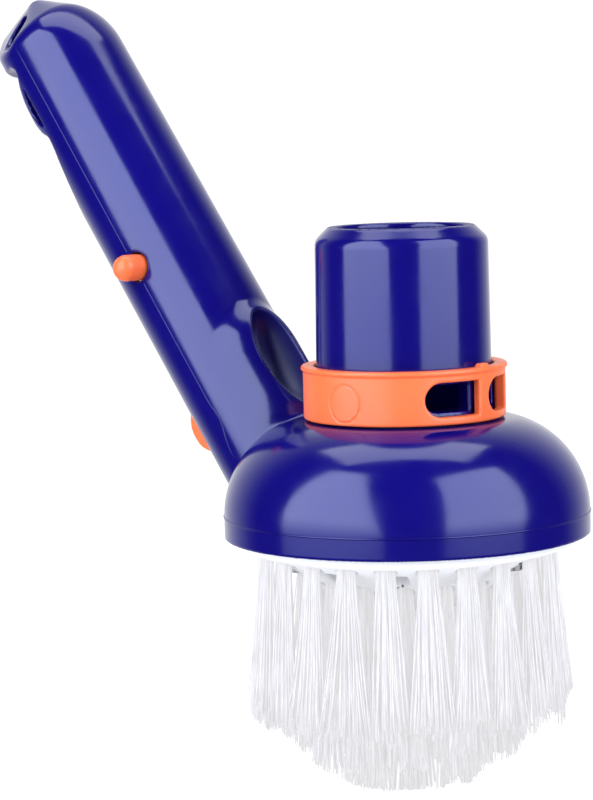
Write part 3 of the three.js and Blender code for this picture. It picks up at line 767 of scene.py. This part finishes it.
# ---------------------------------------------------------------- ring, block, screws, buttons
field_piece("regulator_collar", "regulator_ring", ring_field, 0.34, orange,
            "regulator")
field_piece("bristle_plate", "bristle_block", block_field, 0.5, white,
            "body")
for i in range(SCREW_COUNT):
    field_piece(f"plate_screw_{i + 1}", f"block_screw_{i + 1}", screw_field(i), 0.22, steel,
                "body", margin=0.4)
for side, name, corner in ((1, "right", 0), (-1, "left", 1)):
    knob_tip = abs(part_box(f"button_{name}")[corner].y) / MM
    field_piece(f"snap_button_{name}", f"button_{name}", button_field(side, knob_tip),
                0.36, orange, f"snap_{name}")


# ---------------------------------------------------------------- spring of the snap clip
def bezier(a, b, c, d, count):
    u = np.linspace(0, 1, count)[:, None]
    return (1 - u) ** 3 * a + 3 * u * (1 - u) ** 2 * b + 3 * u * u * (1 - u) * c + u ** 3 * d


def spring_leaf(side):
    """Half of the bent leaf, from the middle of the bend down to the button's own leaf."""
    foot = LEAF_OUTER - SPRING_THICKNESS / 2 - 0.2
    top = SPRING_BEND + 0.5
    shoulder = np.array([SPRING_RADIUS, SPRING_BEND - 4])
    bend = bezier(np.array([0, top]), np.array([SPRING_RADIUS * 0.55, top]),
                  np.array([SPRING_RADIUS, top - 1.6]), shoulder, 12)
    leg = bezier(shoulder, np.array([SPRING_RADIUS, 74]), np.array([foot, 66]),
                 np.array([foot, SPRING_FOOT]), 26)
    line = np.concatenate([bend, leg[1:]])
    tangent = np.gradient(line, axis=0)
    tangent /= np.linalg.norm(tangent, axis=1, keepdims=True)
    normal = np.stack([tangent[:, 1], -tangent[:, 0]], 1)
    half, thick, soft = LEAF_HALF, SPRING_THICKNESS / 2, 0.35
    section = [(-half, -thick + soft), (-half + soft, -thick), (half - soft, -thick),
               (half, -thick + soft), (half, thick - soft), (half - soft, thick),
               (-half + soft, thick), (-half, thick - soft)]
    points, faces = [], []
    for place, out in zip(line, normal):
        for n, off in section:
            m, t = place + out * off
            points.append(from_handle(n, side * m, t))
    sides = len(section)
    for i in range(len(line) - 1):
        for s in range(sides):
            a, b = i * sides + s, i * sides + (s + 1) % sides
            faces.append((a, b, b + sides, a + sides) if side > 0 else (a, a + sides, b + sides, b))
    ends = [tuple(range(sides)), tuple(range(len(points) - sides, len(points)))]
    faces.append(ends[0][::-1] if side > 0 else ends[0])
    faces.append(ends[1] if side > 0 else ends[1][::-1])
    return np.array(points), faces


for side, name in ((1, "right"), (-1, "left")):
    points, faces = spring_leaf(side)
    leaf = make_piece(f"spring_leaf_{name}", points, faces, orange)
    Vector(to_row(from_handle(0, 0, SPRING_BEND - 6)))
    Vector(to_row(from_handle(0, 0, SPRING_FOOT + 4)))
    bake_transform(leaf)
    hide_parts("clip_spring")

# ---------------------------------------------------------------- tufts
FILAMENTS = 100
FILAMENT_RADIUS = 0.19
FLOOR = (cad_low.z - HEAD[2]) / MM
SEGMENTS = 9
SIDES = 4
BUNDLE_RADIUS = 1.72
ROOT_DEPTH = 3.2            # of the filaments, in the tuft's hole
GOLDEN_TURN = 2.39996       # radians from one filament to the next in a bundle
LEAN = 1.3
OUTWARD_SPREAD, CIRCLE_SPREAD = 0.55, 1.15   # away from the brush's middle, and along the circle
DOMED_TRIM = 0.026          # slope of the trimmed ends for each millimetre from the middle


def tuft_mesh(root, tip, seed):
    """Thin nylon filaments that leave the hole together, spread a little and end raggedly."""
    random = np.random.default_rng(seed)
    axis = tip - root
    length = np.linalg.norm(axis)
    axis /= length
    outward = np.array([root[0], root[1], 0.0]) / math.hypot(root[0], root[1])
    across = np.cross(axis, outward)
    across /= np.linalg.norm(across)
    outward = np.cross(across, axis)
    count = FILAMENTS
    spiral = np.arange(count) + 0.5
    spot = np.sqrt(spiral / count)
    angle = spiral * GOLDEN_TURN + random.uniform(0, 6.3)
    disc = np.stack([spot * np.cos(angle), spot * np.sin(angle)], 1)
    clump_angle = random.uniform(0, 6.3, 5)
    clumps = np.stack([np.cos(clump_angle), np.sin(clump_angle)], 1) * random.uniform(0.5, 1, (5, 1))
    nearest = np.argmin(((disc[:, None] - clumps[None]) ** 2).sum(2), 1)
    lean = random.normal(0, 0.45, (5, 2))[nearest] + random.normal(0, 0.25, (count, 2))
    swell = disc * (2.0 + 1.1 * random.random((count, 1)))
    reach = length + 0.6 + random.normal(0, 1.3, 5)[nearest] - 1.4 * random.random(count) ** 2
    reach -= 1.0 * spot ** 2 * random.random(count)
    tip_outwards = OUTWARD_SPREAD * (BUNDLE_RADIUS * disc[:, 0] + swell[:, 0] + LEAN * lean[:, 0])
    reach -= DOMED_TRIM * math.hypot(tip[0], tip[1]) * tip_outwards
    along = np.linspace(0, 1, SEGMENTS + 1)
    start = -ROOT_DEPTH
    distance = start + (reach[:, None] - start) * along[None, :]
    share = np.clip(distance / length, 0, 1.1)[..., None]
    base = disc[:, None, :] * BUNDLE_RADIUS
    bow = random.normal(0, 0.22, (count, 1, 2)) * np.sin(np.pi * np.clip(share, 0, 1))
    offset = base + swell[:, None, :] * share ** 1.15 + lean[:, None, :] * LEAN * share ** 2 + bow
    offset *= np.array([OUTWARD_SPREAD, CIRCLE_SPREAD])
    centre = (root + distance[..., None] * axis + offset[..., :1] * outward
              + offset[..., 1:] * across)
    radius = FILAMENT_RADIUS * (1 - 0.3 * along ** 3)
    turn = np.arange(SIDES) * 2 * math.pi / SIDES + 0.4
    circle = np.cos(turn)[:, None] * outward + np.sin(turn)[:, None] * across
    rings = centre[:, :, None, :] + radius[None, :, None, None] * circle[None, None]
    rings[..., 2] = np.maximum(rings[..., 2], FLOOR + 0.02)
    vertices = rings.reshape(-1, 3)
    ring = np.arange(SIDES)
    per = (SEGMENTS + 1) * SIDES
    faces = []
    for f in range(count):
        for s in range(SEGMENTS):
            a = f * per + s * SIDES
            for k in ring:
                faces.append((a + k, a + SIDES + k, a + SIDES + (k + 1) % SIDES, a + (k + 1) % SIDES))
        faces.append(tuple(f * per + ring))
        faces.append(tuple(f * per + per - SIDES + ring[::-1]))
    return vertices, faces


for number, (circle, count, root_radius, tip_radius, tip_z, first) in enumerate(CIRCLES):
    for i in range(count):
        degrees = first + 360 / count * i
        root = np.array([*polar(root_radius, degrees), block_height(root_radius)])
        tip = np.array([*polar(tip_radius, degrees), tip_z])
        vertices, faces = tuft_mesh(root, tip, 100 * number + i)
        node = f"tuft_{circle}_{i + 1:02d}"
        tuft = make_piece(f"filaments_{circle}_{i + 1:02d}", vertices, faces, bristle)
        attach(tuft, "body")
        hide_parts(node)

# ---------------------------------------------------------------- camera
scene = bpy.context.scene
AZIMUTH = math.radians(45)
forward = Vector((-math.sin(AZIMUTH), math.cos(AZIMUTH), 0))
right = Vector((math.cos(AZIMUTH), math.sin(AZIMUTH), 0))
PITCH, ROLL = math.radians(6.1), math.radians(1.45)
DISTANCE, ASIDE, ABOVE_RIM = 0.614, 0.02384, 0.0958

camera = bpy.data.objects.new("camera", bpy.data.cameras.new("camera"))
scene.collection.objects.link(camera)
camera.data.sensor_width = 36
camera.data.lens = 125.9
camera.data.clip_start = 0.01
camera.location = Vector(HEAD) - forward * DISTANCE - right * ASIDE + Vector((0, 0, ABOVE_RIM))
sight = forward * math.cos(PITCH) - Vector((0, 0, math.sin(PITCH)))
level_up = right.cross(sight)
view_right = right * math.cos(ROLL) - level_up * math.sin(ROLL)
view_up = right * math.sin(ROLL) + level_up * math.cos(ROLL)
camera.rotation_euler = Matrix((view_right, view_up, -sight)).transposed().to_euler()
scene.camera = camera

# ---------------------------------------------------------------- studio
scene.view_settings.view_transform = "Standard"
MIDDLE = Vector((HEAD[0], 0, 0.09))


def direction(bearing, elevation):
    """Unit vector from the object, by its bearing from the camera's side and its elevation."""
    bearing, elevation = math.radians(bearing), math.radians(elevation)
    level = -forward * math.cos(bearing) + right * math.sin(bearing)
    return level * math.cos(elevation) + Vector((0, 0, math.sin(elevation)))


def soft_panel(name, corners, distance, radiance):
    """A glowing sheet that the camera doesn't see, its corners given as bearing and elevation."""
    mesh = bpy.data.meshes.new(name)
    steps = 6
    low_left, low_right, high_right, high_left = (
        MIDDLE + direction(*corner) * distance / math.cos(math.radians(corner[1])) ** 0.7
        for corner in corners)
    points = []
    for i in range(steps + 1):
        for j in range(steps + 1):
            u, v = i / steps, j / steps
            points.append(low_left.lerp(low_right, u).lerp(high_left.lerp(high_right, u), v))
    faces = [(a, a + steps + 1, a + steps + 2, a + 1)
             for a in (i * (steps + 1) + j for i in range(steps) for j in range(steps))]
    mesh.from_pydata(points, [], faces)
    glow, nodes, links, shader = new_material(name, (0, 0, 0), 1)
    shader.inputs["Emission Color"].default_value = (0.96, 1.0, 1.2, 1)
    place = nodes.new("ShaderNodeTexCoord")
    height = nodes.new("ShaderNodeSeparateXYZ")
    links.new(place.outputs["Generated"], height.inputs["Vector"])
    strength = ranged(nodes, links, height.outputs["Z"], 0.15 * radiance, radiance, 0, 0.17)
    links.new(strength, shader.inputs["Emission Strength"])
    mesh.materials.append(glow)
    panel = bpy.data.objects.new(name, mesh)
    scene.collection.objects.link(panel)
    panel.visible_camera = False


soft_panel("left_panel", [(-84, -12), (-16, -12), (-46, 62), (-82, 56)], 0.8, 4.5)
soft_panel("right_panel", [(20, -12), (72, -12), (88, 50), (26, 57)], 0.8, 3.9)


def soft_box(name, bearing, elevation, distance, width, height, radiance):
    """A rectangular light that faces the object."""
    towards = direction(bearing, elevation)
    light = bpy.data.lights.new(name, "AREA")
    light.shape = "RECTANGLE"
    light.size, light.size_y = width, height
    light.energy = radiance * math.pi * width * height
    lamp = bpy.data.objects.new(name, light)
    scene.collection.objects.link(lamp)
    lamp.location = MIDDLE + towards * distance
    lamp.rotation_euler = (-towards).to_track_quat("-Z", "Y").to_euler()


soft_box("top_box", 180, 78, 0.9, 0.9, 0.5, 3.0)

# How bright the world is behind the object and for the camera, and in front of the object.
BEHIND, IN_FRONT = 1.05, 0.03
world = bpy.data.worlds.new("studio")
scene.world = world
world.use_nodes = True
nodes, links = world.node_tree.nodes, world.node_tree.links
background = nodes["Background"]
background.inputs["Color"].default_value = (1, 1, 1, 1)
coordinates = nodes.new("ShaderNodeTexCoord")
facing = nodes.new("ShaderNodeVectorMath")
facing.operation = "DOT_PRODUCT"
facing.inputs[1].default_value = forward
links.new(coordinates.outputs["Generated"], facing.inputs[0])
shade = nodes.new("ShaderNodeMapRange")
shade.interpolation_type = "SMOOTHSTEP"
shade.inputs["From Min"].default_value = 0.3
shade.inputs["From Max"].default_value = 1.05
shade.inputs["To Min"].default_value = IN_FRONT
shade.inputs["To Max"].default_value = BEHIND
links.new(facing.outputs["Value"], shade.inputs["Value"])
rays = nodes.new("ShaderNodeLightPath")
choose = nodes.new("ShaderNodeMix")
choose.data_type = "FLOAT"
choose.inputs["B"].default_value = BEHIND
links.new(rays.outputs["Is Camera Ray"], choose.inputs["Factor"])
links.new(shade.outputs["Result"], choose.inputs["A"])
links.new(choose.outputs["Result"], background.inputs["Strength"])

FLOOR_RADIUS, FLOOR_SIDES, FLOOR_BELOW = 0.62, 96, 0.0002
floor_mesh = bpy.data.meshes.new("floor")
turns = [2 * math.pi * i / FLOOR_SIDES for i in range(FLOOR_SIDES)]
floor_mesh.from_pydata([(FLOOR_RADIUS * math.cos(a), FLOOR_RADIUS * math.sin(a),
                         cad_low.z - FLOOR_BELOW) for a in turns], [], [tuple(range(FLOOR_SIDES))])
floor = bpy.data.objects.new("floor", floor_mesh)
scene.collection.objects.link(floor)
paper, paper_nodes, paper_links, paper_shader = new_material("paper", (0.36, 0.36, 0.36), 0.9)
paper_shader.inputs["Emission Color"].default_value = (1, 1, 1, 1)
paper_shader.inputs["Emission Strength"].default_value = 0.8
# Clear from below, so that the underside can be looked at through it.
faces_of_paper = paper_nodes.new("ShaderNodeMixShader")
paper_links.new(paper_nodes.new("ShaderNodeNewGeometry").outputs["Backfacing"],
                faces_of_paper.inputs["Fac"])
paper_links.new(paper_shader.outputs["BSDF"], faces_of_paper.inputs[1])
paper_links.new(paper_nodes.new("ShaderNodeBsdfTransparent").outputs["BSDF"], faces_of_paper.inputs[2])
paper_links.new(faces_of_paper.outputs["Shader"], paper_nodes["Material Output"].inputs["Surface"])
floor_mesh.materials.append(paper)
floor.visible_glossy = False
